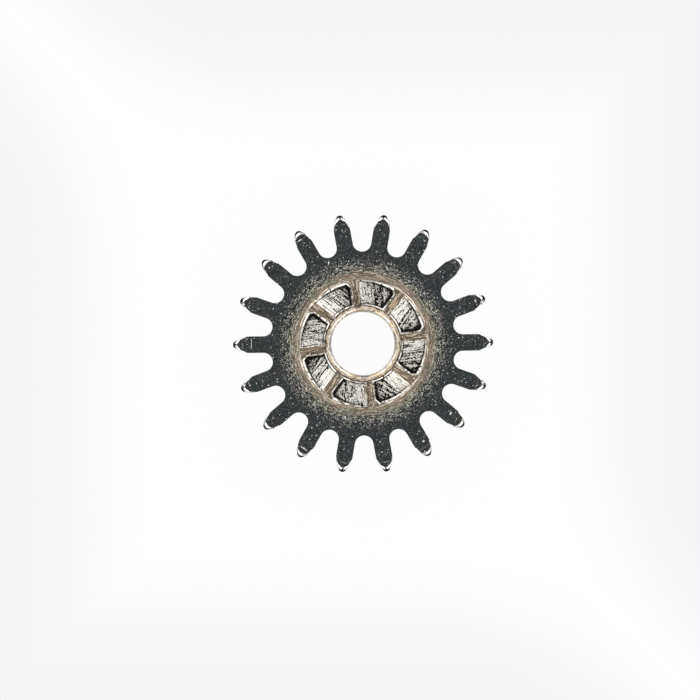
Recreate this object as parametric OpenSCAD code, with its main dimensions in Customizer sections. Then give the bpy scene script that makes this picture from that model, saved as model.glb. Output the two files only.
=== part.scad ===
// Winding pinion of a watch's keyless works, one piece of hardened steel.
// Winding teeth round its edge, ratchet pockets coined into its front face.
// Millimetres. The bore lies on Z, the ratchet face looks up, z = 0 is the end of the back hub.

/* [Winding teeth] */
// Number of winding teeth
leaves = 18; // [17:1:24]
// Module, the pitch diameter over the number of teeth
tooth_module = 0.19; // [0.18:0.002:0.23]
// Height of a tooth above the pitch circle
addendum = 0.263; // [0.22:0.001:0.3]
// Depth of a gap below the pitch circle
dedendum = 0.317; // [0.26:0.001:0.36]
// Thickness of a tooth between its parallel flanks
tooth_t = 0.25; // [0.22:0.002:0.28]
// Radius of a tooth's nose
nose_r = 0.062; // [0.04:0.001:0.08]
// Length of the teeth along the bore
tooth_w = 0.85; // [0.7:0.01:1.2]
// Rounding of both ends of the teeth at the tip
tip_round = 0.08; // [0.03:0.005:0.12]
// Angle of the first tooth from X
tooth_turn = 0.6; // [0:0.1:20]

/* [Bore and back hub] */
// Bore, a running fit on the round seat of the winding stem
bore_d = 0.97; // [0.85:0.01:1.08]
// Chamfer at both ends of the bore
bore_chamfer = 0.038; // [0.02:0.002:0.06]
// Diameter of the hub behind the teeth
hub_d = 2; // [1.5:0.05:2.5]
// Length of that hub
hub_h = 0.25; // [0.1:0.01:0.5]
// Chamfer round the end of the hub
hub_chamfer = 0.05; // [0.02:0.005:0.1]

/* [Ratchet face] */
// Number of ratchet pockets, and of bars between them
ratchet_n = 8; // [6:1:10]
// Angle of the first bar from X
ratchet_turn = 7.8; // [0:0.1:45]
// Width of the flat bar between two pockets
bar_w = 0.12; // [0.08:0.005:0.16]
// Wall from the bore to the pockets
collar_w = 0.098; // [0.08:0.002:0.12]
// Radial length of a pocket at its mouth
pocket_l = 0.378; // [0.3:0.002:0.42]
// Depth of a pocket at its deep outer corner
pocket_depth = 0.2; // [0.16:0.005:0.3]
// Length of the ramp that leads down from a bar
ramp_l = 0.17; // [0.12:0.005:0.22]
// Slope of that ramp
ramp_angle = 32; // [22:1:38]
// Draft of the steep wall that drives, and of the collar's wall
wall_draft = 7; // [3:1:12]
// Draft of the pocket's outer wall
rim_draft = 12; // [5:1:16]
// Bevel across the deep outer corner of a pocket
corner_bevel = 0.08; // [0.04:0.005:0.12]

/* [Dish] */
// Radial width of the dished rim between the pockets and the flat face
dish_w = 0.303; // [0.2:0.005:0.36]
// Depth of the rim below the flat face
dish_depth = 0.055; // [0.03:0.005:0.09]
// Radius of the dish's rounded flank
dish_r = 1.6; // [1.2:0.1:3]
// Depth of the bars below the rim and the collar
bar_drop = 0.012; // [0.006:0.002:0.03]
// Width of the bevel from the bars up to the rim
rim_bevel = 0.018; // [0.01:0.002:0.04]
// Width of the bevel from the bars up to the collar
collar_bevel = 0.008; // [0.004:0.001:0.02]
// Ledge at the bars' level round the mouths of the pockets
ledge_w = 0.006; // [0.004:0.001:0.012]

/* [Hidden] */
$fn = 96;

// Heights
face_z = hub_h + tooth_w;
rim_z = face_z - dish_depth;
bar_z = rim_z - bar_drop;

// Where two curves run together, one stands this far past the tangent, so that they cross cleanly
blend = 0.0008;

// Overshoot of cuts, beyond every surface that they leave through
over = 0.3;

// Radii of the teeth, and of the blank that they are cut in
pitch_r = leaves * tooth_module / 2;
tip_r = pitch_r + addendum;
root_r = pitch_r - dedendum;
blank_r = tip_r + 5 * blend;
flank_y = tooth_t / 2;
half_pitch = 180 / leaves;

// The gap's bottom is one full round, which undercuts both flanks by the blend
gap_r = (root_r * sin(half_pitch) - flank_y + blend) / (1 - sin(half_pitch));
gap_x = root_r + gap_r;
web_r = sqrt(pow(gap_x * cos(half_pitch), 2) + pow(flank_y, 2));

// The ogive leaves the flank on the pitch circle and runs into the nose
nose_x = tip_r - nose_r;
run_in_r = nose_r - blend;
ogive_r = (pow(nose_x - pitch_r, 2) + pow(flank_y, 2) - pow(run_in_r, 2)) / (2 * (flank_y - run_in_r));
ogive_y = ogive_r - flank_y - blend;
run_in_x = pitch_r + ogive_r * (nose_x - pitch_r) / (ogive_r - run_in_r);

// Radii of the ratchet face, from the bore outwards
bore_r = bore_d / 2;
pocket_in_r = bore_r + collar_w;
pocket_out_r = pocket_in_r + pocket_l;
rim_r = pocket_out_r + ledge_w + rim_bevel;
dish_out_r = pocket_out_r + dish_w;

// Circle of the dish's flank, through the inner edge of the rim and the edge of the flat face
dish_run = dish_out_r - rim_r;
dish_chord = sqrt(pow(dish_run, 2) + pow(dish_depth, 2));
dish_sag = sqrt(pow(dish_r, 2) - pow(dish_chord / 2, 2));
dish_x = (rim_r + dish_out_r) / 2 + dish_sag * dish_depth / dish_chord;
dish_z = (rim_z + face_z) / 2 - dish_sag * dish_run / dish_chord;

// Plan of a pocket: its deep corner, along the bar at its deep end and from the bar at its shallow end
ratchet_pitch = 360 / ratchet_n;
corner_u = sqrt(pow(pocket_out_r, 2) - pow(bar_w / 2, 2));
corner_s = pocket_out_r * sin(ratchet_pitch - asin(bar_w / 2 / pocket_out_r)) - bar_w / 2;

// Outline of one tooth along X, from inside the web to its nose
module tooth_plan() {
    lap = 10 * blend;
    translate([root_r * 0.8, -flank_y])
        square([pitch_r - root_r * 0.8, tooth_t]);
    intersection() {
        translate([pitch_r - lap, -flank_y])
            square([run_in_x - pitch_r + lap, tooth_t]);
        translate([pitch_r, -ogive_y])
            circle(ogive_r);
        translate([pitch_r, ogive_y])
            circle(ogive_r);
    }
    translate([nose_x, 0])
        circle(nose_r);
}

// Outline of the whole toothed edge: the teeth on their web, with a round bottom between each pair
module toothed_plan() {
    difference() {
        union() {
            circle(web_r);
            for (i = [0 : leaves - 1])
                rotate(i * 2 * half_pitch)
                    tooth_plan();
        }
        for (i = [0 : leaves - 1])
            rotate((2 * i + 1) * half_pitch)
                translate([gap_x, 0])
                    circle(gap_r);
    }
}

// Half section of the turned blank round the teeth, rounded at both ends
module blank_section() {
    translate([0, hub_h])
        square([blank_r - tip_round, tooth_w]);
    translate([0, hub_h + tip_round])
        square([blank_r, tooth_w - 2 * tip_round]);
    for (z = [hub_h + tip_round, face_z - tip_round])
        translate([blank_r - tip_round, z])
            circle(tip_round);
}

// The toothed body
module toothed_body() {
    intersection() {
        translate([0, 0, hub_h])
            linear_extrude(tooth_w)
                rotate(tooth_turn)
                    toothed_plan();
        rotate_extrude()
            blank_section();
    }
}

// The hub behind the teeth
module back_hub() {
    rotate_extrude()
        polygon([
            [0, 0],
            [hub_d / 2 - hub_chamfer, 0],
            [hub_d / 2, hub_chamfer],
            [hub_d / 2, hub_h + over],
            [0, hub_h + over]
        ]);
}

// What is turned out of the front face: a ring at the bars' level between collar and rim, and the dish
module dish() {
    rotate_extrude() {
        polygon([
            [0, rim_z],
            [pocket_in_r - ledge_w - collar_bevel, rim_z],
            [pocket_in_r - ledge_w, bar_z],
            [pocket_out_r + ledge_w, bar_z],
            [pocket_out_r + ledge_w + rim_bevel * (1 + over / bar_drop), rim_z + over],
            [0, rim_z + over]
        ]);
        difference() {
            translate([pocket_out_r, bar_z])
                square([dish_x - pocket_out_r, over]);
            translate([dish_x, dish_z])
                circle(dish_r, $fn = 360);
        }
    }
}

// The bore, chamfered at both ends
module bore() {
    translate([0, 0, -over])
        cylinder(d = bore_d, h = face_z + 2 * over);
    rotate_extrude()
        polygon([
            [0, -over],
            [bore_r + bore_chamfer + over, -over],
            [bore_r, bore_chamfer],
            [0, bore_chamfer]
        ]);
    rotate_extrude()
        polygon([
            [0, rim_z - bore_chamfer],
            [bore_r, rim_z - bore_chamfer],
            [bore_r + bore_chamfer + over, rim_z + over],
            [0, rim_z + over]
        ]);
}

// One pocket, on the clockwise side of the bar that lies along X
module pocket() {
    reach = 2 * pocket_out_r;
    sunk = 2 * pocket_depth;
    ramp_drop = ramp_l * tan(ramp_angle);
    floor_fall = (pocket_depth - ramp_drop) / (corner_s - ramp_l);
    translate([0, 0, bar_z])
        intersection() {
            // Ramp and floor, ruled parallel to the bar at the shallow end
            translate([0, -bar_w / 2, 0])
                rotate([90, 0, -90])
                    linear_extrude(2 * reach, center = true)
                        polygon([
                            [0, 0],
                            [ramp_l, -ramp_drop],
                            [ramp_l + reach, -ramp_drop - reach * floor_fall],
                            [ramp_l + reach, over],
                            [0, over]
                        ]);
            // Steep wall, along the bar at the deep end
            rotate([90, 0, 90 - ratchet_pitch])
                linear_extrude(2 * reach, center = true)
                    polygon([
                        [bar_w / 2 - over * tan(wall_draft), over],
                        [bar_w / 2 + sunk * tan(wall_draft), -sunk],
                        [reach, -sunk],
                        [reach, over]
                    ]);
            // Bevel across the deep outer corner
            rotate(-ratchet_pitch)
                translate([corner_u - corner_bevel, bar_w / 2, -sunk])
                    linear_extrude(sunk + over)
                        polygon([[-reach, -reach], [reach, reach], [-reach, reach]]);
            // Drafted walls of the collar and of the rim
            rotate_extrude()
                polygon([
                    [pocket_in_r - over * tan(wall_draft), over],
                    [pocket_in_r + sunk * tan(wall_draft), -sunk],
                    [pocket_out_r - sunk * tan(rim_draft), -sunk],
                    [pocket_out_r + over * tan(rim_draft), over]
                ]);
        }
}

// The finished pinion
module winding_pinion() {
    color("slategray")
        difference() {
            union() {
                toothed_body();
                back_hub();
            }
            dish();
            bore();
            for (i = [0 : ratchet_n - 1])
                rotate(ratchet_turn + i * ratchet_pitch)
                    pocket();
        }
}

winding_pinion();
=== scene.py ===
import math

import bpy
import numpy as np
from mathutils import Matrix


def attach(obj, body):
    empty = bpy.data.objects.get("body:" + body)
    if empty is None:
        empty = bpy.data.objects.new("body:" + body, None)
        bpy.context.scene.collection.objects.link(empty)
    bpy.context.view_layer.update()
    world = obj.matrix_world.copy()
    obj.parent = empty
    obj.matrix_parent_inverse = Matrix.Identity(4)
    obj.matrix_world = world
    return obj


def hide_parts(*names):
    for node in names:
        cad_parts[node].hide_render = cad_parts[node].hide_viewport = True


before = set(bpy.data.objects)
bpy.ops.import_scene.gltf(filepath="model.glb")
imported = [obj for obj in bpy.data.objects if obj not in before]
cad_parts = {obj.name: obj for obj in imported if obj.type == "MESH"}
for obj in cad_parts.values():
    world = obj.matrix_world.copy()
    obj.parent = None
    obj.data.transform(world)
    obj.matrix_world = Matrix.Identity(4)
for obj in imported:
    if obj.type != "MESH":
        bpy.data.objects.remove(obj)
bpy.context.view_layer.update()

mm = 0.001                       # the sizes below are in millimetres

# Sizes are in millimetres and degrees
pinion = {
    "leaves": 18,            # winding teeth
    "toothModule": 0.19,
    "addendum": 0.263,
    "dedendum": 0.317,
    "toothThick": 0.25,      # between the parallel flanks
    "noseRadius": 0.062,
    "toothWidth": 0.85,      # along the bore
    "toothTurn": 0.6,        # first tooth, from X
    "boreRadius": 0.485,
    "boreChamfer": 0.038,
    "hubRadius": 1.0,
    "hubHeight": 0.25,
    "hubChamfer": 0.05,
    "boreEdge": 0.04,        # rounding of the bore's front chamfer towards the collar
    "hubFillet": 0.02,       # left by the turning tool behind the teeth
    "ratchetCount": 8,
    "ratchetTurn": 7.8,      # first bar, from X
    "barWidth": 0.12,
    "collarWidth": 0.098,
    "pocketLength": 0.378,   # radial
    "pocketDepth": 0.2,      # at the deep outer corner
    "rampLength": 0.17,
    "rampAngle": 32,
    "cornerBevel": 0.08,
    "dishWidth": 0.303,
    "dishDepth": 0.055,
    "dishRadius": 1.6,       # of its rounded flank
    "barDrop": 0.012,
    "rimBevel": 0.018,
    "collarBevel": 0.008,
    "ledge": 0.006,
    "turnedEdge": 0.006,     # edges broken on the lathe
    "mouthWidth": 0.024,     # bevelled mouth of a pocket, above its upright wall
    "mouthGrowth": 0.024,    # how much wider it is along the rim at the deep end
    "mouthShares": (0, 0.25, 0.5, 0.75, 0.9, 1, 1.6),           # across the mouth, as shares of its width,
    "mouthDrops": (0, 0.09, 0.22, 0.39, 0.57, 0.84, 10.6),      # and how far it has dropped there, the same
    "cornerBlend": 0.006,    # upright corners of the pockets
    "footBlend": 0.006,      # feet of their walls
    "barBlend": 0.006,       # where a ramp leaves its bar,
    "rampBlend": 0.004,      # and where it runs into the floor
    "collarBlend": 0.002,    # where the bevel at the bars' inner ends runs into the collar,
    "rimBlend": 0.003,       # and the one at their outer ends into the dish
    # painted shade: the four bands below paint the pockets' ramps and floors dark along the feet of their walls
    "steepShade": (0.040, 0.050),    # dark band at the foot of the steep wall, at the collar and added at the rim,
    "bevelShade": 0.060,             # of the bevelled corner,
    "collarShade": 0.016,            # of the collar's wall,
    "rimShade": (0.012, 0.050),      # and of the rim's wall, at the shallow end and added at the deep end
    "shadeStart": 0.008,     # from a wall's upright part to the start of its band
    "sunkFrom": 0.0012,      # below the bars, where the finishes of the pockets start
    "wallShare": 0.98,       # of a mouth's width, which has the walls' finish
    "shadedBevelOverlap": 0.001,    # how far the collar's bevel, painted dark as painted shade, reaches onto the bars
    "flankEdge": 0.008,      # ends of the teeth: broken edge along flanks and gaps,
    "ogiveEdge": (0.010, 0.028),     # wider along the ogive, here and below first for the teeth on the diagonals,
                                     # then for those nearest X and Y, which are broken further,
    "ogiveSpan": (0.25, 0.68),       # from the first of these shares of it to the nose; the last share is fairing
    "tipStart": (1.9035, 1.908),     # round the nose it starts from half an ellipse that reaches this far out,
    "tipHalf": (0.084, 0.050),       # has this half width
    "tipDepth": (0.055, 0.054),      # and this depth
    "edgeShares": (0, 0.18, 0.36, 0.55, 0.82, 0.93, 1),         # across that edge, and its slopes there
    "edgeSlopes": (35, 36, 37, 41, 54, 76, 84),
    "axisSpan": (-0.5, 0.17),        # cosine of four times a tooth's angle, from the one kind to the other
    "brightFrom": 0.05,      # the edge is bright from this share of its widening on
    # painted dark reflection: the dark line round the ends of the teeth, widest on the teeth nearest X and Y,
    # between the lamps
    "capAngle": (72, 56),    # how far round from the tip its dark line is wide,
    "capCore": 19,           # and nearest X and Y still wider
}

# Columns go round the bore, rows go once round the section
grid = {
    "hubColumns": 192,
    "backRadius": 1.28,      # where its rows start on the back face,
    "collarEnd": -0.03,      # and where they end, from the pockets' inner wall
    # rows of the ratchet: from the pockets' inner wall; evenly on from there, the first from that wall and the last
    # from the outer wall, with their number; and from the outer wall
    "collarRows": np.array([-23, -16, -14, -11.5, -9, -6.5, -5, -3, -1, 1, 4, 8, 12, 16,
                            20, 23, 26, 30, 34, 42]) * 0.001,
    "floorRows": (0.05, -0.13, 6),
    "rimRows": np.array([*np.arange(-96, -42, 5.2), *np.arange(-40, -1, 4.2),
                         0, 1.8, 4, 6, 10.5, 15, 19.5, 24, 28, 33]) * 0.001,
    "barColumns": 3,         # half a bar
    # lines along the bars: distance from the side of the bar at the deep end, or of the one at the shallow end, and
    # the columns from each line to the next
    "deepLines": ((-0.004, 2), (0, 9), (0.024, 5), (0.038, 12), (0.105, 22)),
    "shallowLines": ((pinion["rampLength"] + 0.02, 8), (pinion["rampLength"] - 0.02, 24), (0.02, 8), (-0.012, 5)),
    "dishColumns": 480,
    "dishRows": 9,
    "dishStart": 0.039,      # where they start, from the pockets' outer wall,
    "dishEnd": (-0.003, -0.001, 0.001, 0.006),   # where the last is and three more, from the dish's outer edge
    "coreRadius": 1.32,      # where the columns of the teeth start on the flat faces
    "coreSpread": 0.96,      # of a tooth's thickness, which its columns take there
    "faceShares": (0, 0.55, 0.975),      # rows from there to the broken edge
    "gapColumns": 9,         # half a tooth: half a gap's bottom,
    "flankColumns": 3,       # flank,
    "ogiveColumns": 12,      # ogive,
    "noseColumns": 10,       # and half a nose
    "hold": 0.004,           # spare row or column beside each rounded edge
}


def smoothMin(a, b, blend):
    # the lower of two; where they differ by less than blend they run together along a parabola
    return np.minimum(a, b) - np.maximum(blend - np.abs(a - b), 0) ** 2 / (4 * blend)


def smoothMax(a, b, blend):
    return -smoothMin(-a, -b, blend)


def softStep(x):
    # 0 up to 0, 1 from 1 on, with a smooth rise between
    x = np.clip(x, 0, 1)
    return x * x * (3 - 2 * x)


def roundedPath(corners, hold, steps=4):
    # corners are (radius, height, rounding, finish of the run that follows); each rounding is an arc that touches
    # both runs rounding * tan(turn / 2) from its corner, with a spare point just outside each end
    spots = np.array([c[:2] for c in corners], float)
    out, finish = [spots[0]], [corners[0][3]]
    for k in range(1, len(corners) - 1):
        rounding, before, after = corners[k][2], corners[k - 1][3], corners[k][3]
        back, ahead = spots[k - 1] - spots[k], spots[k + 1] - spots[k]
        back, ahead = back / np.linalg.norm(back), ahead / np.linalg.norm(ahead)
        turn = math.pi - math.acos(back @ ahead)
        reach = rounding * math.tan(turn / 2)
        centre = spots[k] + (back + ahead) / np.linalg.norm(back + ahead) * rounding / math.cos(turn / 2)
        first = spots[k] + back * reach - centre
        side = -back
        out.append(spots[k] + back * (reach + hold))
        finish.append(before)
        for step in range(steps + 1):
            a = turn * step / steps
            out.append(centre + first * math.cos(a) + side * rounding * math.sin(a))
            finish.append(before if step < steps / 2 else after)
        out.append(spots[k] + ahead * (reach + hold))
        finish.append(after)
    out.append(spots[-1])
    return np.array(out), finish


def turned(path, columns):
    # a ring of columns for each (radius, height) of the path
    a = 2 * math.pi * np.arange(columns) / columns
    r, z = path[:, :1], path[:, 1:]
    return np.stack([r * np.cos(a), r * np.sin(a), z + 0 * a], -1)


def addRows(shell, rows, finish, plan=None):
    # rows of points, closed round the bore; finish holds a number for each strip, or one for each face
    strips, columns = rows.shape[0] - 1, rows.shape[1]
    number = sum(map(len, shell["points"])) + np.arange(rows.shape[0] * columns).reshape(-1, columns)
    after = np.roll(number, -1, 1)
    finish = np.asarray(finish)
    finish = finish[:, None] if finish.ndim == 1 else finish
    shell["points"].append(rows.reshape(-1, 3))
    shell["plan"].append(np.zeros((number.size, 3)) if plan is None else plan.reshape(-1, 3))
    shell["faces"] += np.stack([number[:-1], number[1:], after[1:], after[:-1]], -1).reshape(-1, 4).tolist()
    shell["finish"] += np.broadcast_to(finish, (strips, columns)).ravel().tolist()
    return number


def joinRings(shell, first, second, finish):
    # a band of triangles between two rings with any columns: both rings' points are sorted by angle, and each point
    # passed closes a triangle on the last point of the other ring
    spots = np.vstack(shell["points"])
    angle = [np.arctan2(spots[n, 1], spots[n, 0]) for n in (first, second)]
    first, second = first[np.argsort(angle[0])], second[np.argsort(angle[1])]
    order = np.argsort(np.concatenate([np.sort(angle[0]), np.sort(angle[1])]), kind="stable")
    onFirst = order < len(first)
    lastFirst = first[(np.cumsum(onFirst) - 1) % len(first)]
    lastSecond = second[(np.cumsum(~onFirst) - 1) % len(second)]
    beforeFirst = first[(np.cumsum(onFirst) - 2) % len(first)]
    beforeSecond = second[(np.cumsum(~onFirst) - 2) % len(second)]
    faces = np.where(
        onFirst[:, None],
        np.stack([beforeFirst, lastSecond, lastFirst], -1),
        np.stack([lastFirst, beforeSecond, lastSecond], -1),
    )
    shell["faces"] += faces.tolist()
    shell["finish"] += [finish] * len(faces)


def toothOutline(p, g):
    # Half a tooth along X is the gap's round bottom, a straight flank, the arc of the ogive and that of the nose,
    # each touching the next; the other half is its mirror image. Returns that outline all round, the inner line of
    # the broken edge, how wide that is of its widest, how its painted dark reflection lies (0, 1 where it is wide
    # round the nose, 2 where it is still wider) and the angle at which each column leaves the core.
    half = math.pi / p["leaves"]
    flankY = p["toothThick"] / 2
    pitchRadius = p["leaves"] * p["toothModule"] / 2
    tipRadius = pitchRadius + p["addendum"]
    rootRadius = pitchRadius - p["dedendum"]
    gapRadius = (rootRadius * math.sin(half) - flankY) / (1 - math.sin(half))
    gapMiddle = (rootRadius + gapRadius) * np.array([math.cos(half), -math.sin(half)])
    noseX = tipRadius - p["noseRadius"]
    rise = noseX - pitchRadius
    ogiveRadius = (rise ** 2 + flankY ** 2 - p["noseRadius"] ** 2) / (2 * (flankY - p["noseRadius"]))
    lean = math.asin(rise / (ogiveRadius - p["noseRadius"]))

    def steps(name):
        return np.arange(g[name]) / g[name]

    def unit(angle):
        return np.stack([np.cos(angle), np.sin(angle)], -1)

    gapWay = unit(math.pi - half - (math.pi / 2 - half) * steps("gapColumns"))
    flank = np.stack([gapMiddle[0] + (pitchRadius - gapMiddle[0]) * steps("flankColumns"),
                      np.full(g["flankColumns"], -flankY)], -1)
    ogiveWay = unit(-math.pi / 2 + lean * steps("ogiveColumns"))
    noseWay = unit(-math.pi / 2 + lean + (math.pi / 2 - lean) * steps("noseColumns"))
    lower = np.vstack([
        gapMiddle + gapRadius * gapWay,
        flank,
        np.array([pitchRadius, ogiveRadius - flankY]) + ogiveRadius * ogiveWay,
        np.array([noseX, 0]) + p["noseRadius"] * noseWay,
    ])
    lowerWay = np.vstack([-gapWay, np.tile([0.0, -1.0], (g["flankColumns"], 1)), ogiveWay, noseWay])
    widen = np.clip((steps("ogiveColumns") - p["ogiveSpan"][0]) / (1 - p["ogiveSpan"][0]), 0, 1)
    widen = np.concatenate([np.zeros(g["gapColumns"] + g["flankColumns"]), widen, np.ones(g["noseColumns"])])
    tip = len(lower) - g["noseColumns"]
    last = g["gapColumns"] + g["flankColumns"] + math.ceil(p["ogiveSpan"][1] * g["ogiveColumns"])
    flip = np.array([1.0, -1.0])

    def innerLine(kind):
        edge = p["flankEdge"] + (p["ogiveEdge"][kind] - p["flankEdge"]) * widen
        line = lower - lowerWay * edge[:, None]
        line[tip:, 0] = p["tipStart"][kind] + p["tipDepth"][kind] * (noseWay[:, 0] - 1)
        line[tip:, 1] = p["tipHalf"][kind] * noseWay[:, 1]
        share = (np.arange(last, tip) + 1 - last)[:, None] / (tip + 1 - last)
        line[last:tip] = line[last - 1] + (line[tip] - line[last - 1]) * share
        return np.vstack([line, [[p["tipStart"][kind], 0.0]], (line * flip)[:0:-1]])

    meet = math.asin(flankY / g["coreRadius"]) * g["coreSpread"]
    beyond = len(lower) - g["gapColumns"]
    core = np.concatenate([-half + (half - meet) * steps("gapColumns"), -meet * (1 - np.arange(beyond) / beyond)])

    tooth = np.vstack([lower, [[tipRadius, 0.0]], (lower * flip)[:0:-1]])
    way = np.vstack([lowerWay, [[1.0, 0.0]], (lowerWay * flip)[:0:-1]])
    widened = np.concatenate([widen, [1.0], widen[:0:-1]])
    core = np.concatenate([core, [0.0], -core[:0:-1]])
    turns = math.radians(p["toothTurn"]) + 2 * half * np.arange(p["leaves"])[:, None]
    nearAxis = softStep((np.cos(4 * turns) - p["axisSpan"][0]) / (p["axisSpan"][1] - p["axisSpan"][0]))
    inner = innerLine(0) + (innerLine(1) - innerLine(0)) * nearAxis[:, :, None]
    # where the painted dark reflection is wide, round the nose
    cap = way[:, 0] > np.cos(np.radians(p["capAngle"][0] + (p["capAngle"][1] - p["capAngle"][0]) * nearAxis))

    def around(v):
        x, y, c, s = v[..., 0], v[..., 1], np.cos(turns), np.sin(turns)
        return np.stack([x * c - y * s, x * s + y * c], -1).reshape(-1, 2)

    cap = cap + 1 * (cap & (way[:, 0] > math.cos(math.radians(p["capCore"]))) & (nearAxis > 0.5))
    return around(tooth), around(inner), np.tile(widened, p["leaves"]), cap.ravel(), (turns + core).ravel()


def toothRows(p, g, faceZ, names):
    # Front face, broken edge, flanks, broken edge and back face of the toothed ring, one row after the other. The
    # edge runs from the outline to an inner line, and its height is the sum of its slopes across that width.
    outline, inner, widen, cap, core = toothOutline(p, g)
    width = np.linalg.norm(outline - inner, axis=1)
    across, slopes = np.array(p["edgeShares"]), np.radians(p["edgeSlopes"])
    drop = np.concatenate([[0], np.cumsum(np.diff(across) * np.tan((slopes[:-1] + slopes[1:]) / 2))])
    coreLine = g["coreRadius"] * np.stack([np.cos(core), np.sin(core)], -1)

    def level(plan, z):
        return np.concatenate([plan, np.broadcast_to(z, len(plan))[:, None]], 1)

    def half(sign, z):
        rows = [level(coreLine + (inner - coreLine) * share, z) for share in g["faceShares"]]
        rows += [level(inner + (outline - inner) * a, z - sign * d * width) for a, d in zip(across, drop)]
        return rows

    deep = drop[-1] * width + 2 * g["hold"]
    front, back = half(1, faceZ), half(-1, p["hubHeight"])
    sides = [level(outline, faceZ - deep), level(outline, (faceZ + p["hubHeight"]) / 2),
             level(outline, p["hubHeight"] + deep)]
    rows = np.array(front + sides + back[::-1])

    # the edge is bright where it widens, with a painted dark reflection outside it: a dark line, wide only round
    # the nose
    bright, dark = names["toothEdge"], names["toothDarkReflection"]
    inside = np.where((widen + np.roll(widen, -1)) / 2 > p["brightFrom"], bright, dark)
    cap = np.minimum(cap, np.roll(cap, -1))
    middle, outside = np.where(cap > 1, dark, inside), np.where(cap > 0, dark, inside)
    strip = {name: np.full(len(widen), names[name]) for name in ("face", "toothDarkReflection", "flank", "back")}
    onFace = len(g["faceShares"])
    finish = [strip["face"]] * onFace
    finish += [inside] * 2 + [middle] + [outside] * 2 + [strip["toothDarkReflection"]]
    finish += [strip["flank"]] * (len(sides) + len(across)) + [strip["back"]] * onFace
    return rows, np.array(finish)


def pocketRadii(p):
    # of the pockets' inner wall and of their outer wall
    inner = p["boreRadius"] + p["collarWidth"]
    return inner, inner + p["pocketLength"]


def pocketShape(p, r, a):
    # Heights of a pocket's walls and of its floor below the bars, at radius r and at angle a counter-clockwise of
    # the bar at its deep end. The floor is the higher of two planes that fall away from the bar at the shallow end.
    # Each wall drops from its mouth by mouthDrops; the highest wall counts. Also returns the distance from the
    # shallow bar, the share of the nearest mouth that is passed, and painted shade: a dark band at the walls' feet.
    pitch = 2 * math.pi / p["ratchetCount"]
    side = p["barWidth"] / 2
    pocketIn, pocketOut = pocketRadii(p)
    cornerAlong = math.sqrt(pocketOut ** 2 - side ** 2)
    cornerRun = pocketOut * math.sin(pitch - math.asin(side / pocketOut)) - side
    rampDrop = p["rampLength"] * math.tan(math.radians(p["rampAngle"]))
    fall = (p["pocketDepth"] - rampDrop) / (cornerRun - p["rampLength"])

    run = r * np.sin(pitch - a) - side
    ramp = -run * rampDrop / p["rampLength"]
    floor = smoothMax(ramp, -rampDrop - (run - p["rampLength"]) * fall, p["rampBlend"])
    floor = smoothMin(0, floor, p["barBlend"])

    along, across = r * np.cos(a), r * np.sin(a) - side
    reach = np.clip(run / cornerRun, 0, 1)
    outwards = np.clip((r - pocketIn) / p["pocketLength"], 0, 1)
    mouth = p["mouthWidth"]
    rimMouth = mouth / 2 + (p["mouthGrowth"] + mouth / 2) * reach
    steepShade = p["steepShade"][0] + p["steepShade"][1] * outwards
    rimShade = p["rimShade"][0] + p["rimShade"][1] * reach ** 2
    walls = [
        (across, mouth, steepShade),
        ((across - along + cornerAlong - p["cornerBevel"]) / math.sqrt(2), mouth, p["bevelShade"]),
        (r - pocketIn + 0 * a, mouth, p["collarShade"]),
        (pocketOut - r + 0 * a, rimMouth, rimShade),
    ]
    wall, passed, shade = np.full(run.shape, -9.0), np.full(run.shape, 9.0), np.zeros(run.shape)
    for inward, width, band in walls:
        drop = -width * np.interp(inward / width, p["mouthShares"], p["mouthDrops"])
        wall = smoothMax(wall, drop, p["cornerBlend"])
        passed = np.minimum(passed, inward / width)
        # painted shade: dark at a wall's foot, fading out over its band
        shade = np.maximum(shade, 1 - softStep((inward - width - p["shadeStart"]) / band))
    return wall, floor, run, passed, shade


def dishHeight(p, r, faceZ):
    # the circle of dishRadius through the rim's inner edge and the edge of the flat face
    pocketOut = pocketRadii(p)[1]
    rim = pocketOut + p["ledge"] + p["rimBevel"]
    outer = pocketOut + p["dishWidth"]
    chord = math.hypot(outer - rim, p["dishDepth"])
    sag = math.sqrt(p["dishRadius"] ** 2 - chord ** 2 / 4)
    x = (rim + outer) / 2 + sag * p["dishDepth"] / chord
    z = faceZ - p["dishDepth"] / 2 - sag * (outer - rim) / chord
    return z + np.sqrt(p["dishRadius"] ** 2 - (r - x) ** 2)


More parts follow.
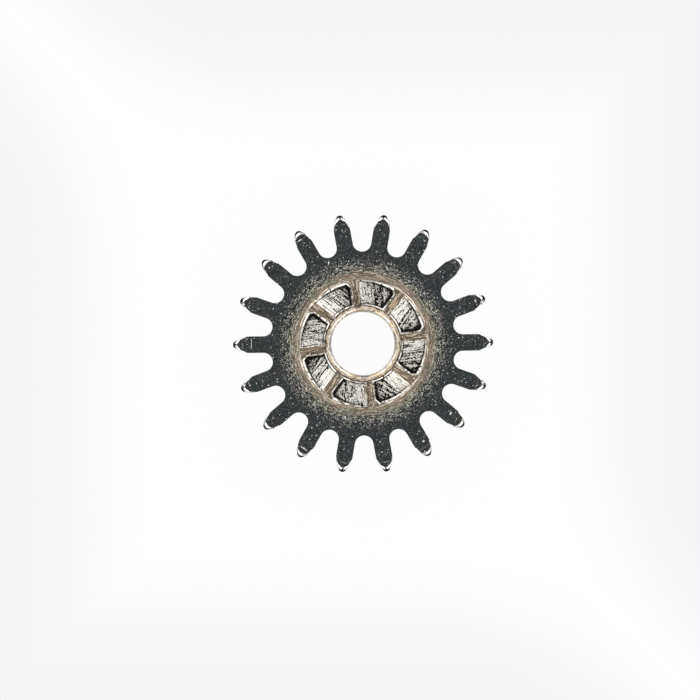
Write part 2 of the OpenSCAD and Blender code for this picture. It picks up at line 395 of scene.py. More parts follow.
def ratchetRows(p, g, faceZ, names):
    # One column follows each line of a pocket: a bar's sides, the foot of the steep wall, the break from ramp to
    # floor. Rows crowd at the collar's and the rim's walls. Height is the ring's own profile plus the pocket.
    count = p["ratchetCount"]
    pitch = 2 * math.pi / count
    side = p["barWidth"] / 2
    pocketIn, pocketOut = pocketRadii(p)
    ledgeIn, ledgeOut = pocketIn - p["ledge"], pocketOut + p["ledge"]
    barZ = faceZ - p["dishDepth"] - p["barDrop"]
    first, last, number = g["floorRows"]
    radii = np.concatenate([
        pocketIn + g["collarRows"],
        np.linspace(pocketIn + first, pocketOut + last, number),
        pocketOut + g["rimRows"],
    ])[:, None]

    # lines across a pitch, from the deep bar's axis to the shallow bar's
    lines = [0 * radii]
    lines += [np.arcsin((side + d) / radii) for d, n in g["deepLines"]]
    lines += [pitch - np.arcsin((side + d) / radii) for d, n in g["shallowLines"]]
    lines.append(pitch + 0 * radii)
    columns = [g["barColumns"]] + [n for d, n in g["deepLines"] + g["shallowLines"]]
    spans = zip(lines[:-1], lines[1:], columns)
    angles = np.concatenate([a + (b - a) * np.arange(n) / n for a, b, n in spans], 1)

    collar = smoothMin(p["barDrop"], (ledgeIn - radii) * p["barDrop"] / p["collarBevel"], p["collarBlend"])
    bevel = (radii - ledgeOut) * p["barDrop"] / p["rimBevel"]
    rim = smoothMin(dishHeight(p, radii, faceZ) - barZ, bevel, p["rimBlend"])
    ring = np.maximum(np.maximum(collar, rim), 0)
    wall, floor, run, passed, shade = pocketShape(p, radii, angles)
    height = barZ + ring + np.minimum(smoothMax(wall, floor, p["footBlend"]), 0)

    # what each face is, from the shape at its middle
    r = (radii[:-1] + radii[1:]) / 2
    after = np.concatenate([angles[:, 1:], lines[-1]], 1)
    a = (angles[:-1] + angles[1:] + after[:-1] + after[1:]) / 4
    wallMid, floorMid, runMid, passedMid, _ = pocketShape(p, r, a)
    sunk = np.maximum(wallMid, floorMid) < -p["sunkFrom"]
    finish = np.full(a.shape, names["bar"])
    for where, name in (
        # the collar's bevel is painted dark: painted shade
        (r < ledgeIn + p["shadedBevelOverlap"], "shadedBevel"),
        (r < ledgeIn - p["collarBevel"], "collar"),
        (r > ledgeOut, "rimEdge"),
        (sunk & (runMid < p["rampLength"]), "ramp"),
        (sunk & (runMid >= p["rampLength"]), "floor"),
        (sunk & (wallMid > floorMid) & (passedMid < p["wallShare"]), "wall"),
    ):
        finish[np.broadcast_to(where, a.shape)] = names[name]

    turn = (np.arange(count) - 1)[None, :, None] * pitch + math.radians(p["ratchetTurn"])
    whole = (turn + angles[:, None]).reshape(len(radii), -1)
    onBar = angles < lines[2] + 1e-6         # the far half of the bar at the deep end, measured from its own axis
    run = np.where(onBar, -side - radii * np.sin(angles), run)
    along = radii * np.cos(np.where(onBar, angles, pitch - angles))
    plan = np.stack([np.tile(run, (1, count)), np.tile(along, (1, count)), np.tile(shade, (1, count))], -1)
    rows = np.stack([radii * np.cos(whole), radii * np.sin(whole), np.tile(height, (1, count))], -1)
    return rows, np.tile(finish, (1, count)), plan


def makePinion(p, g, finishes):
    # Four bands of rows, each joined to the next, make one closed shell: hub, bore and collar; ratchet; dish; teeth
    names = {name: k for k, name in enumerate(finishes)}
    faceZ = p["hubHeight"] + p["toothWidth"]
    rimZ = faceZ - p["dishDepth"]
    pocketIn, pocketOut = pocketRadii(p)
    dishOut = pocketOut + p["dishWidth"]
    shell = {"points": [], "plan": [], "faces": [], "finish": []}

    edge = p["turnedEdge"]
    chamferOut = p["boreRadius"] + p["boreChamfer"]
    path, named = roundedPath([
        (g["backRadius"], p["hubHeight"], 0, "back"),
        (p["hubRadius"], p["hubHeight"], p["hubFillet"], "hub"),
        (p["hubRadius"], p["hubChamfer"], edge, "hub"),
        (p["hubRadius"] - p["hubChamfer"], 0, edge, "hubEnd"),
        (chamferOut, 0, edge, "chamfer"),
        (p["boreRadius"], p["boreChamfer"], edge, "bore"),
        (p["boreRadius"], rimZ - p["boreChamfer"], edge, "chamfer"),
        (chamferOut, rimZ, p["boreEdge"], "collar"),
        (pocketIn + g["collarEnd"], rimZ, 0, "collar"),
    ], g["hold"])
    hub = addRows(shell, turned(path, g["hubColumns"]), [names[n] for n in named])
    rows, finish, plan = ratchetRows(p, g, faceZ, names)
    ratchet = addRows(shell, rows, finish, plan)
    last, *beyond = dishOut + np.array(g["dishEnd"])
    radii = np.concatenate([np.linspace(pocketOut + g["dishStart"], last, g["dishRows"]), beyond])
    path = np.stack([radii, np.where(radii < dishOut, dishHeight(p, radii, faceZ), faceZ)], -1)
    dish = addRows(shell, turned(path, g["dishColumns"]), [names["face"]] * (len(path) - 1))
    rows, finish = toothRows(p, g, faceZ, names)
    teeth = addRows(shell, rows, finish)
    joinRings(shell, hub[-1], ratchet[0], names["collar"])
    joinRings(shell, ratchet[-1], dish[0], names["face"])
    joinRings(shell, dish[-1], teeth[0], names["face"])
    joinRings(shell, teeth[-1], hub[0], names["back"])

    mesh = bpy.data.meshes.new("windingPinion")
    mesh.from_pydata(np.vstack(shell["points"]) * mm, [], shell["faces"])
    for finish in finishes.values():
        mesh.materials.append(finish)
    mesh.polygons.foreach_set("material_index", shell["finish"])
    mesh.polygons.foreach_set("use_smooth", [True] * len(shell["faces"]))
    pocketPlan = mesh.attributes.new("pocketPlan", "FLOAT_VECTOR", "POINT")
    pocketPlan.data.foreach_set("vector", np.vstack(shell["plan"]).astype(np.float32).ravel())
    mesh.update()
    piece = bpy.data.objects.new("windingPinion", mesh)
    bpy.context.collection.objects.link(piece)
    triangles = sum(len(f) - 2 for f in shell["faces"])
    print("pinion made,", len(mesh.vertices), "points,", triangles, "triangles")
    return piece


# Finishes of the steel. Colours are linear, sizes in millimetres. A finish is a base colour and layers of another
# colour: each lies where its field is in or past its span, at most by its share, and only where its mask allows.
# Fields: grain is soft noise, cells are small facets of random value from 0 to 1. Either may be turned (rings round
# the bore), scored (along the bars) or upright (along the bore), with a length in sizes. Radius, run (from the
# shallow bar), shade (painted shade: the dark band at the walls' feet) and axes (1 on X and Y, -1 on the
# diagonals, which the pockets' layers use to paint shade between the lamps) are read from the shape. A mask is one
# of these, or ring, the nearness to a radius.
def layer(field, span, colour, share=1.0, size=0.02, length=1, mask=None):
    return {"field": field, "span": span, "colour": colour, "share": share,
            "size": size, "length": length, "mask": mask}


# what all finishes share
pattern = {
    "pastBar": 6.5,          # degrees from a bar's axis to where the next pocket's number begins
    "layerShift": (7.31, 3.17, 5.73),        # moves each layer's noise on from the one before, in sizes,
    "pocketShift": (3.7, 5.3, 7.1),          # and each pocket's from its neighbour's
    "softDetail": 1,         # of the soft noise
    "softRoughness": 0.5,
    "grainUnder": 0.05,      # the first noise of a size below this also drives roughness and bump
    "grainSpan": (0.2, 0.8),         # of that noise, from the roughest to the smoothest
    "markWobble": 0.5,       # how far it moves a mark's edge, in half lengths and half widths
    "markEdge": (1.15, 0.75),        # where a mark starts and where it is whole, in the same
}

# single marks: radius, angle, direction from the tangent, half length, half width, colour
faceMarks = [
    (1.690, 180.3, 0, 0.068, 0.005, (0.75, 0.75, 0.72)),
    (1.823, 240.5, 0, 0.054, 0.011, (0.80, 0.78, 0.72)),
    (1.826, 260.4, 0, 0.045, 0.005, (0.28, 0.30, 0.30)),
    (1.826, 280.7, 0, 0.042, 0.005, (0.30, 0.32, 0.30)),
    (1.818, 20.8, 0, 0.016, 0.009, (0.95, 0.95, 0.92)),
    (1.814, 59.2, 0, 0.016, 0.009, (0.95, 0.95, 0.92)),
    (1.833, 121.6, 0, 0.026, 0.008, (0.80, 0.80, 0.76)),
    (1.826, 141.0, 0, 0.012, 0.009, (0.85, 0.85, 0.82)),
    (1.830, 200.3, 0, 0.014, 0.009, (0.80, 0.80, 0.78)),
    (1.737, 301.8, 0, 0.014, 0.014, (0.95, 0.93, 0.86)),
    (1.696, 321.6, 0, 0.022, 0.012, (0.90, 0.90, 0.86)),
    (1.332, 113.0, 60, 0.030, 0.010, (0.90, 0.88, 0.80)),
    (1.226, 269.6, 80, 0.040, 0.010, (0.010, 0.010, 0.010)),
]
# painted highlight: a golden streak on the bar near the diagonal at 52.6 degrees, where a lamp shines
barHighlight = [
    (0.790, 52.6, 90, 0.110, 0.022, (0.56, 0.42, 0.25)),
]
floorMarks = [
    (0.763, 216.1, 105.9, 0.180, 0.010, (0.020, 0.018, 0.016)),
]

finishSettings = {
    # the polished face's near-black base is partly a painted dark reflection; the dark sky overhead gives the rest
    "face": {"base": (0.052, 0.059, 0.058), "rough": (0.30, 0.42), "bump": 0.0008, "marks": faceMarks, "layers": [
        layer("grain", (0.46, 0.60), (0.040, 0.053, 0.060), 0.6, 0.16),
        layer("grain", (0.52, 0.62), (0.060, 0.051, 0.063), 0.5, 0.12),
        layer("grain", (0.52, 0.62), (0.044, 0.061, 0.046), 0.45, 0.10),
        layer("grain", (0.42, 0.58), (0.057, 0.045, 0.036), 0.8, 0.10, mask=("radius", 1.72, 1.90)),
        layer("radius", (1.165, 1.05), (0.105, 0.097, 0.082)),
        layer("radius", (1.125, 1.005), (0.322, 0.268, 0.198)),
        layer("grain", (0.48, 0.60), (0.189, 0.199, 0.107), 0.55, 0.20, mask=("radius", 1.18, 1.09)),
        layer("grain", (0.50, 0.62), (0.370, 0.243, 0.188), 0.75, 0.16, mask=("radius", 1.12, 1.05)),
        layer("cells", (0.50, 0.75), (0.010, 0.012, 0.012), 0.58, 0.010),
        layer("turnedCells", (0.52, 0.70), (0.008, 0.008, 0.006), 0.80, 0.009, 3, ("ring", 1.15, 0.22)),
        layer("turnedCells", (0.82, 0.92), (0.700, 0.640, 0.520), 0.85, 0.009, 4, ("ring", 1.08, 0.20)),
        layer("turnedCells", (0.90, 0.96), (0.80, 0.84, 0.68), 0.9, 0.010, 2, ("ring", 1.16, 0.18)),
        layer("cells", (0.91, 0.97), (0.95, 0.82, 0.78), 0.9, 0.010, 1, ("ring", 1.18, 0.18)),
        layer("turnedCells", (0.76, 0.88), (0.700, 0.620, 0.520), 0.7, 0.009, 20, ("ring", 1.05, 0.08)),
        layer("turnedCells", (0.76, 0.88), (0.066, 0.057, 0.046), 0.7, 0.009, 20, ("ring", 1.07, 0.09)),
        layer("cells", (0.86, 0.97), (0.200, 0.213, 0.213), 0.9, 0.010),
        layer("cells", (0.989, 0.993), (0.95, 0.95, 0.93), 0.9, 0.012),
        layer("cells", (0.60, 0.70), (0.369, 0.377, 0.361), 0.7, 0.014, 1, ("ring", 1.826, 0.012)),
    ]},
    # lighter than the bars: partly a painted highlight on the rim's bevel, whose slope also catches the lamps
    "rimEdge": {"base": (0.345, 0.294, 0.227), "rough": (0.34, 0.46), "bump": 0.0006, "layers": [
        layer("turnedCells", (0.60, 0.75), (0.115, 0.090, 0.066), 0.9, 0.014, 6),
        layer("turnedCells", (0.65, 0.80), (0.95, 0.86, 0.72), 0.9, 0.014, 7),
    ]},
    "bar": {"base": (0.205, 0.168, 0.127), "rough": (0.34, 0.46), "bump": 0.0012, "marks": barHighlight, "layers": [
        layer("grain", (0.48, 0.62), (0.279, 0.201, 0.123), 0.6, 0.10),
        layer("scoredCells", (0.65, 0.80), (0.070, 0.056, 0.041), 0.85, 0.013, 9),
        layer("scoredCells", (0.75, 0.88), (0.72, 0.62, 0.48), 0.9, 0.013, 9),
        layer("cells", (0.93, 0.97), (0.85, 0.78, 0.66), 0.9, 0.014),
    ]},
    "collar": {"base": (0.305, 0.242, 0.171), "rough": (0.32, 0.44), "bump": 0.0012, "layers": [
        layer("radius", (0.572, 0.540), (0.86, 0.73, 0.57)),
        layer("grain", (0.50, 0.62), (0.74, 0.51, 0.29), 0.45, 0.08),
        layer("turnedCells", (0.62, 0.78), (0.120, 0.092, 0.062), 0.85, 0.012, 7),
        layer("turnedCells", (0.74, 0.86), (0.93, 0.85, 0.73), 0.85, 0.012, 6),
        layer("cells", (0.92, 0.96), (0.10, 0.075, 0.05), 0.7, 0.012),
    ]},
    # painted shade: the collar's bevel down to the bars, painted dark
    "shadedBevel": {"base": (0.05, 0.044, 0.036), "rough": (0.40, 0.50), "bump": 0.0006, "layers": [
        layer("turnedCells", (0.60, 0.75), (0.26, 0.21, 0.15), 0.7, 0.03, 4),
    ]},
    # near-white: partly a painted highlight on the bore's chamfers
    "chamfer": {"base": (0.98, 0.95, 0.89), "rough": (0.26, 0.36), "bump": 0.0006, "layers": [
        layer("turnedCells", (0.76, 0.86), (0.20, 0.15, 0.095), 0.9, 0.018, 5),
        layer("grain", (0.50, 0.60), (0.95, 0.72, 0.42), 0.6, 0.12),
    ]},
    "bore": {"base": (0.42, 0.41, 0.38), "rough": (0.25, 0.34), "bump": 0.0006, "layers": [
        layer("turnedCells", (0.60, 0.80), (0.30, 0.29, 0.27), 0.8, 0.016, 20),
        layer("turnedCells", (0.70, 0.85), (0.60, 0.58, 0.54), 0.6, 0.012, 30),
        layer("grain", (0.50, 0.65), (0.38, 0.34, 0.28), 0.4, 0.20),
    ]},
    # near-white: partly a painted highlight on the pockets' mouths, which also catch the lamps
    "wall": {"base": (0.95, 0.93, 0.89), "rough": (0.24, 0.34), "bump": 0.0004, "layers": [
        layer("grain", (0.57, 0.63), (0.25, 0.215, 0.17), 0.8, 0.09),
        layer("grain", (0.62, 0.65), (0.03, 0.027, 0.023), 0.95, 0.045),
        layer("grain", (0.47, 0.52), (0.09, 0.075, 0.06), 0.95, 0.07, mask=("ring", 0.76, 0.18)),
    ]},
    # near-white base: a painted highlight, the lit copy of the pockets' steel on the steep ramps, which face the
    # lamps
    "ramp": {"base": (0.99, 0.96, 0.90), "rough": (0.42, 0.56), "bump": 0.0040, "marks": floorMarks, "layers": [
        layer("cells", (0.90, 0.93), (0.03, 0.028, 0.025), 0.9, 0.013),
        layer("scoredCells", (0.76, 0.88), (0.55, 0.50, 0.40), 0.55, 0.014, 8),
        layer("scoredCells", (0.87, 0.90), (0.025, 0.022, 0.02), 0.97, 0.013, 8),
        # painted shade: darker on the pockets nearest X and Y, between the lamps on the diagonals
        layer("cells", (0.88, 0.91), (0.02, 0.018, 0.016), 0.95, 0.015, 1, ("axes", -0.2, 0.5)),
        # painted shade along the walls' feet
        layer("shade", (0.3, 0.9), (0.02, 0.02, 0.02), 0.8),
    ]},
    # near-black base: painted shade, the dark copy of the same steel on the gentler floors, with white scores
    # across it
    "floor": {"base": (0.026, 0.024, 0.020), "rough": (0.20, 0.32), "bump": 0.0110, "marks": floorMarks, "layers": [
        layer("scoredCells", (0.42, 0.45), (0.99, 0.95, 0.87), 1.0, 0.018, 13, ("run", 1.15, 0.25)),
        layer("cells", (0.78, 0.81), (0.99, 0.96, 0.88), 1.0, 0.015),
        layer("cells", (0.80, 0.83), (0.010, 0.010, 0.008), 0.97, 0.015),
        # painted shade: darker on the pockets nearest X and Y, between the lamps on the diagonals
        layer("cells", (0.74, 0.77), (0.014, 0.013, 0.011), 0.95, 0.017, 1, ("axes", -0.1, 0.5)),
        # painted shade along the walls' feet
        layer("shade", (0.25, 0.75), (0.024, 0.023, 0.020), 0.97),
    ]},
    "toothEdge": {"base": (0.80, 0.80, 0.79), "rough": (0.03, 0.06), "bump": 0.0002, "layers": [
        layer("grain", (0.60, 0.72), (0.54, 0.54, 0.53), 0.5, 0.03),
    ]},
    # painted dark reflection along the teeth's broken edges; the grazing tint below keeps it dark at grazing angles
    # too
    "toothDarkReflection": {"base": (0.014, 0.014, 0.014), "rough": (0.34, 0.46), "bump": 0.0004, "layers": [
        layer("grain", (0.52, 0.68), (0.030, 0.030, 0.028), 0.7, 0.03),
    ], "grazing": (0.1, 0.1, 0.1)},          # its tint at grazing angles, which is white on the others
    "flank": {"base": (0.16, 0.16, 0.158), "rough": (0.28, 0.40), "bump": 0.0012, "layers": [
        layer("uprightCells", (0.50, 0.75), (0.085, 0.085, 0.085), 0.8, 0.016, 12),
        layer("uprightCells", (0.70, 0.85), (0.36, 0.355, 0.34), 0.7, 0.014, 16),
        layer("grain", (0.48, 0.62), (0.17, 0.145, 0.12), 0.4, 0.20),
        layer("uprightCells", (0.94, 0.98), (0.42, 0.415, 0.40), 0.6, 0.012, 6),
    ]},
    "back": {"base": (0.20, 0.20, 0.195), "rough": (0.30, 0.42), "bump": 0.0014, "layers": [
        layer("turnedCells", (0.50, 0.75), (0.11, 0.11, 0.108), 0.8, 0.018, 20),
        layer("turnedCells", (0.70, 0.85), (0.42, 0.415, 0.40), 0.7, 0.014, 30),
        layer("grain", (0.46, 0.62), (0.21, 0.18, 0.145), 0.5, 0.30),
        layer("turnedCells", (0.94, 0.98), (0.48, 0.475, 0.46), 0.6, 0.012, 8),
    ]},
    "hub": {"base": (0.30, 0.295, 0.28), "rough": (0.28, 0.38), "bump": 0.0012, "layers": [
        layer("turnedCells", (0.50, 0.75), (0.19, 0.185, 0.175), 0.8, 0.014, 30),
        layer("turnedCells", (0.70, 0.85), (0.50, 0.495, 0.47), 0.7, 0.012, 40),
        layer("grain", (0.46, 0.62), (0.30, 0.26, 0.21), 0.4, 0.25),
    ]},
    "hubEnd": {"base": (0.38, 0.375, 0.36), "rough": (0.24, 0.34), "bump": 0.0010, "layers": [
        layer("turnedCells", (0.50, 0.75), (0.25, 0.245, 0.235), 0.8, 0.012, 40),
        layer("turnedCells", (0.70, 0.85), (0.56, 0.555, 0.53), 0.7, 0.010, 50),
        layer("grain", (0.46, 0.62), (0.38, 0.33, 0.27), 0.4, 0.25),
        layer("turnedCells", (0.94, 0.98), (0.60, 0.595, 0.58), 0.6, 0.010, 8),
    ]},
}


def addNode(nodes, kind, inputs, **settings):
    node = nodes.new("ShaderNode" + kind)
    for name, value in settings.items():
        setattr(node, name, value)
    for socket, value in inputs.items():
        if isinstance(value, bpy.types.NodeSocket):
            nodes.id_data.links.new(value, node.inputs[socket])
        else:
            node.inputs[socket].default_value = value
    return node


def mixColour(nodes, share, a, b):
    def whole(c):
        return (*c, 1) if isinstance(c, tuple) else c
    return addNode(nodes, "Mix", {0: share, 6: whole(a), 7: whole(b)}, data_type="RGBA").outputs[2]


def calculate(nodes, operation, *values):
    return addNode(nodes, "Math", dict(enumerate(values)), operation=operation).outputs[0]


def shareOf(nodes, value, low, high):
    # 0 at low, 1 at high, with a smooth rise between
    return addNode(nodes, "MapRange", {0: value, 1: low, 2: high}, interpolation_type="SMOOTHSTEP").outputs[0]


def between(nodes, share, a, b):
    # a where share is 0, b where it is 1, straight between
    return addNode(nodes, "MapRange", {0: share, 3: a, 4: b}).outputs[0]


def scaled(nodes, vector, factors, offset=(0, 0, 0)):
    return addNode(nodes, "VectorMath", {0: vector, 1: factors, 2: offset}, operation="MULTIPLY_ADD").outputs[0]


def shapeFields(nodes, p, t):
    # What the layers read from the shape, in millimetres: place, radius, turn (the direction from the bore), lift
    # (radius and height together, so that turned lines cover faces and walls alike), axes (the cosine of four times
    # the angle, which is 1 - 8 * (xy)^2 of turn), and in the pockets their own plan and number, which changes just
    # past a bar.
    place = scaled(nodes, addNode(nodes, "TexCoord", {}).outputs["Object"], (1 / mm,) * 3)
    flat = scaled(nodes, place, (1, 1, 0))
    radius = addNode(nodes, "VectorMath", {0: flat}, operation="LENGTH").outputs["Value"]
    height = addNode(nodes, "SeparateXYZ", {0: place}).outputs[2]
    lift = addNode(nodes, "CombineXYZ", {2: calculate(nodes, "ADD", radius, height)}).outputs[0]
    turn = addNode(nodes, "VectorMath", {0: flat}, operation="NORMALIZE").outputs[0]
    x, y, _ = addNode(nodes, "SeparateXYZ", {0: turn}).outputs
    product = calculate(nodes, "MULTIPLY", x, y)
    square = calculate(nodes, "MULTIPLY", product, product)
    axes = calculate(nodes, "SUBTRACT", 1.0, calculate(nodes, "MULTIPLY", square, 8.0))

    plan = addNode(nodes, "Attribute", {}, attribute_name="pocketPlan").outputs["Vector"]
    run, _, shade = addNode(nodes, "SeparateXYZ", {0: plan}).outputs
    back = math.radians(-p["ratchetTurn"] - t["pastBar"])
    turnedBack = addNode(nodes, "Mapping", {"Vector": place, "Rotation": (0, 0, back)}).outputs[0]
    x, y, _ = addNode(nodes, "SeparateXYZ", {0: turnedBack}).outputs
    number = calculate(nodes, "MULTIPLY", calculate(nodes, "ARCTAN2", y, x), p["ratchetCount"] / (2 * math.pi))
    number = calculate(nodes, "FLOOR", number)
    number = addNode(nodes, "CombineXYZ", {0: number, 1: number, 2: number}).outputs[0]
    return {"place": place, "radius": radius, "turn": turn, "lift": lift, "axes": axes,
            "plan": plan, "number": number, "run": run, "shade": shade}


def noiseField(nodes, shape, t, coat, seed):
    # a layer's grain or cells: one size across, and its length along the rings, scores or bore
    kind, fine, long = coat["field"], 1 / coat["size"], 1 / (coat["size"] * coat["length"])
    shift = tuple(seed * v for v in t["layerShift"])
    if kind.startswith("turned"):
        along = scaled(nodes, shape["turn"], (long,) * 3, shift)
        across = scaled(nodes, shape["lift"], (0, 0, fine))
        spot = addNode(nodes, "VectorMath", {0: along, 1: across}, operation="ADD").outputs[0]
    elif kind.startswith("scored"):
        shift = scaled(nodes, shape["number"], t["pocketShift"], shift)
        spot = scaled(nodes, shape["plan"], (fine, long, 0), shift)
    elif kind.startswith("upright"):
        spot = scaled(nodes, shape["place"], (fine, fine, long), shift)
    else:
        spot = scaled(nodes, shape["place"], (fine,) * 3, shift)
    if kind.lower().endswith("cells"):
        facet = addNode(nodes, "TexVoronoi", {"Vector": spot, "Scale": 1}).outputs["Color"]
        return addNode(nodes, "SeparateXYZ", {0: facet}).outputs[0]
    soft = {"Vector": spot, "Scale": 1, "Detail": t["softDetail"], "Roughness": t["softRoughness"]}
    return addNode(nodes, "TexNoise", soft).outputs[0]


def maskShare(nodes, shape, kind, first, last):
    if kind == "ring":
        off = calculate(nodes, "ABSOLUTE", calculate(nodes, "SUBTRACT", shape["radius"], first))
        return shareOf(nodes, off, last, 0)
    return shareOf(nodes, shape[kind], first, last)


def markShare(nodes, shape, t, grain, markRadius, angle, direction, length, width):
    # an ellipse with an uneven edge
    a = math.radians(angle)
    spot = addNode(nodes, "Mapping", {
        "Vector": shape["place"], "Location": (markRadius * math.cos(a), markRadius * math.sin(a), 0),
        "Rotation": (0, 0, a + math.radians(90 + direction)), "Scale": (length, width, 1)}, vector_type="TEXTURE")
    off = addNode(nodes, "VectorMath", {0: scaled(nodes, spot.outputs[0], (1, 1, 0))}, operation="LENGTH")
    wobble = between(nodes, grain, -t["markWobble"], t["markWobble"])
    return shareOf(nodes, calculate(nodes, "ADD", off.outputs["Value"], wobble), *t["markEdge"])


def makeFinish(name, f, p, t):
    material = bpy.data.materials.new(name + "Steel")
    material.use_nodes = True
    nodes = material.node_tree.nodes
    nodes.clear()
    shape = shapeFields(nodes, p, t)
    colour, grain = f["base"], None
    for seed, coat in enumerate(f["layers"], 1):
        field = shape.get(coat["field"])
        if field is None:
            field = noiseField(nodes, shape, t, coat, seed)
            if coat["size"] < t["grainUnder"]:
                grain = grain or field
        share = calculate(nodes, "MULTIPLY", shareOf(nodes, field, *coat["span"]), coat["share"])
        if coat["mask"]:
            share = calculate(nodes, "MULTIPLY", share, maskShare(nodes, shape, *coat["mask"]))
        colour = mixColour(nodes, share, colour, coat["colour"])
    for *place, tone in f.get("marks", []):
        colour = mixColour(nodes, markShare(nodes, shape, t, grain, *place), colour, tone)
    (low, high), (smoothest, roughest) = t["grainSpan"], f["rough"]
    rough = addNode(nodes, "MapRange", {0: grain, 1: low, 2: high, 3: roughest, 4: smoothest}).outputs[0]
    bump = addNode(nodes, "Bump", {"Strength": 1, "Distance": f["bump"] * mm, "Height": grain}).outputs[0]
    steel = {"Base Color": colour, "Metallic": 1, "Roughness": rough, "Normal": bump}
    shader = addNode(nodes, "BsdfPrincipled", steel)
    shader.inputs["Specular Tint"].default_value = (*f.get("grazing", (1, 1, 1)), 1)
    addNode(nodes, "OutputMaterial", {"Surface": shader.outputs[0]})
    return material


finishes = {name: makeFinish(name, f, pinion, pattern) for name, f in finishSettings.items()}
print("finishes made:", len(finishes))

piece = makePinion(pinion, grid, finishes)
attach(piece, "root")
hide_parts("winding_pinion")

studio = {
    "floorHalf": 300,        # mm
    "floorDrop": 0.002,      # below the hub's end
    "floorPale": 0.86,       # colour of the floor where it lights the part
    "backdropShare": 0.97,   # of what the camera sees of the floor; the rest is its lit surface, with the shadow
    "fadeStart": 3.0,        # mm from the middle, where the backdrop starts to fade, squarely
    "fadeEnd": 5.4,
    "fadeTo": 0.90,
    "fadeSide": 1.75,        # mm either side of the falling diagonal, which stays white
    "ceiling": 0.77,         # straight up
    "sides": 0.02,           # the dark gaps between the lamps
    "gapSpan": (0.20, 0.42),     # their edges, as (2xy / (x*x + y*y)) squared
    "gapRise": (0.35, 0.49),     # heights between which they run into the ceiling
    "lamps": 1.85,           # on the four diagonals
    "lampFoot": (0.04, 0.14),    # heights between which lamps and gaps start, above the horizon,
    "lampHead": (0.66, 0.86),    # and between which the lamps run into the ceiling
    "horizon": 1.0,
    "lens": 200,
    "sensor": 36,
    "clip": (0.001, 10),     # metres
    "frameWidth": 10.598,    # mm across the picture, at the height of the flat face
    "aimX": -0.198,          # mm, the point under the middle of the picture
    "aimY": -0.098,
}


def makeFloor(s):
    # The camera, and polished metal, see a white backdrop that fades with the larger of x and y, but not along one
    # diagonal. What lights the part is the plain pale floor.
    h = s["floorHalf"] * mm
    z = -s["floorDrop"] * mm
    mesh = bpy.data.meshes.new("paleFloor")
    mesh.from_pydata([(-h, -h, z), (h, -h, z), (h, h, z), (-h, h, z)], [], [(0, 1, 2, 3)])
    material = bpy.data.materials.new("paleFloor")
    material.use_nodes = True
    nodes = material.node_tree.nodes
    nodes.clear()
    place = addNode(nodes, "TexCoord", {}).outputs["Object"]
    centred = scaled(nodes, place, (1 / mm, 1 / mm, 0), (-s["aimX"], -s["aimY"], 0))
    x, y, _ = addNode(nodes, "SeparateXYZ", {0: centred}).outputs
    both = calculate(nodes, "ADD", x, y)
    x, y, both = (calculate(nodes, "ABSOLUTE", v) for v in (x, y, both))
    fade = shareOf(nodes, calculate(nodes, "MAXIMUM", x, y), s["fadeStart"], s["fadeEnd"])
    aside = addNode(nodes, "MapRange", {0: both, 1: 0, 2: s["fadeSide"] * math.sqrt(2)}).outputs[0]
    pale = mixColour(nodes, calculate(nodes, "MULTIPLY", fade, aside), (1.0, 1.0, 1.0), (s["fadeTo"],) * 3)
    glow = addNode(nodes, "Emission", {"Color": pale, "Strength": 1}).outputs[0]
    lit = addNode(nodes, "BsdfDiffuse", {"Color": (s["floorPale"],) * 3 + (1,)}).outputs[0]
    path = addNode(nodes, "LightPath", {}).outputs
    direct = calculate(nodes, "MAXIMUM", path["Is Glossy Ray"], path["Is Transmission Ray"])
    direct = calculate(nodes, "MAXIMUM", path["Is Camera Ray"], direct)
    share = calculate(nodes, "MULTIPLY", direct, s["backdropShare"])
    surface = addNode(nodes, "MixShader", {0: share, 1: lit, 2: glow}).outputs[0]
    addNode(nodes, "OutputMaterial", {"Surface": surface})
    mesh.materials.append(material)
    floor = bpy.data.objects.new("paleFloor", mesh)
    bpy.context.collection.objects.link(floor)


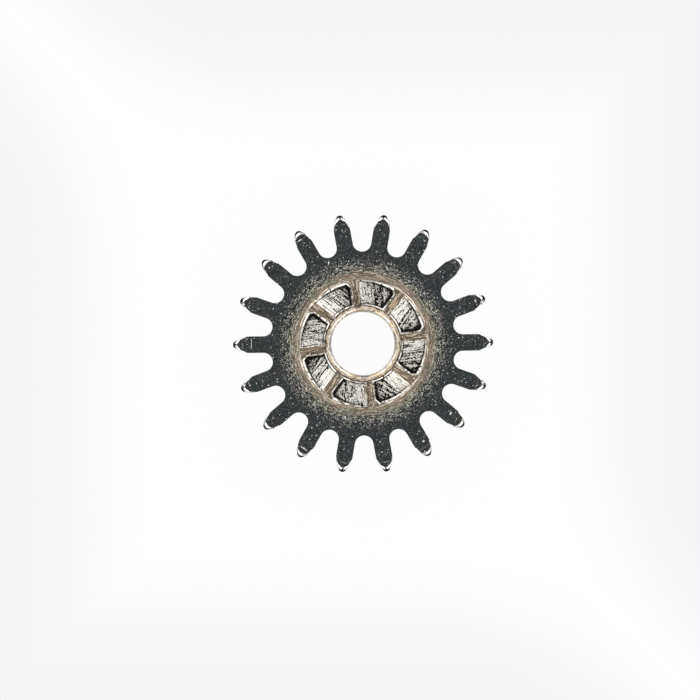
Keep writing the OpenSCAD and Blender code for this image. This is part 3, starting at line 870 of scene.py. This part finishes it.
def makeSky(s):
    # Soft light from straight up and, stronger, from four broad lamps on the diagonals at middling height. With a
    # direction's x, y and z, the lamps' share rises with (2xy / (x*x + y*y)) squared, and z is the height. The gaps
    # between the lamps are dark below and run into the ceiling. The camera sees white.
    world = bpy.data.worlds.new("studioSky")
    bpy.context.scene.world = world
    world.use_nodes = True
    nodes = world.node_tree.nodes
    nodes.clear()
    x, y, z = addNode(nodes, "SeparateXYZ", {0: addNode(nodes, "TexCoord", {}).outputs["Generated"]}).outputs
    flat = calculate(nodes, "ADD", calculate(nodes, "MULTIPLY", x, x), calculate(nodes, "MULTIPLY", y, y))
    product = calculate(nodes, "MULTIPLY", calculate(nodes, "MULTIPLY", x, y), 2.0)
    share = calculate(nodes, "DIVIDE", product, calculate(nodes, "MAXIMUM", flat, 1e-6))
    diagonal = shareOf(nodes, calculate(nodes, "MULTIPLY", share, share), *s["gapSpan"])
    low = shareOf(nodes, z, *s["lampFoot"])
    high = shareOf(nodes, z, *s["lampHead"])
    band = calculate(nodes, "MULTIPLY", low, calculate(nodes, "SUBTRACT", 1.0, high))
    lamp = calculate(nodes, "MULTIPLY", band, diagonal)
    level = between(nodes, shareOf(nodes, z, *s["gapRise"]), s["sides"], s["ceiling"])
    level = between(nodes, low, s["horizon"], level)
    level = between(nodes, lamp, level, s["lamps"])
    path = addNode(nodes, "LightPath", {}).outputs
    mirrored = calculate(nodes, "MAXIMUM", path["Is Glossy Ray"], path["Is Transmission Ray"])
    nearHorizon = calculate(nodes, "MULTIPLY", mirrored, calculate(nodes, "SUBTRACT", 1.0, low))
    white = calculate(nodes, "MAXIMUM", path["Is Camera Ray"], nearHorizon)
    strength = between(nodes, white, level, 1.0)
    background = addNode(nodes, "Background", {"Color": (1, 1, 1, 1), "Strength": strength}).outputs[0]
    addNode(nodes, "OutputWorld", {"Surface": background})


def makeCamera(s):
    data = bpy.data.cameras.new("camera")
    data.lens, data.sensor_width = s["lens"], s["sensor"]
    data.clip_start, data.clip_end = s["clip"]
    camera = bpy.data.objects.new("camera", data)
    bpy.context.collection.objects.link(camera)
    faceZ = pinion["hubHeight"] + pinion["toothWidth"]
    away = s["frameWidth"] * s["lens"] / s["sensor"]
    camera.location = (s["aimX"] * mm, s["aimY"] * mm, (faceZ + away) * mm)
    bpy.context.scene.camera = camera


makeFloor(studio)
makeSky(studio)
makeCamera(studio)
bpy.context.scene.view_settings.view_transform = "Standard"
print("studio made")
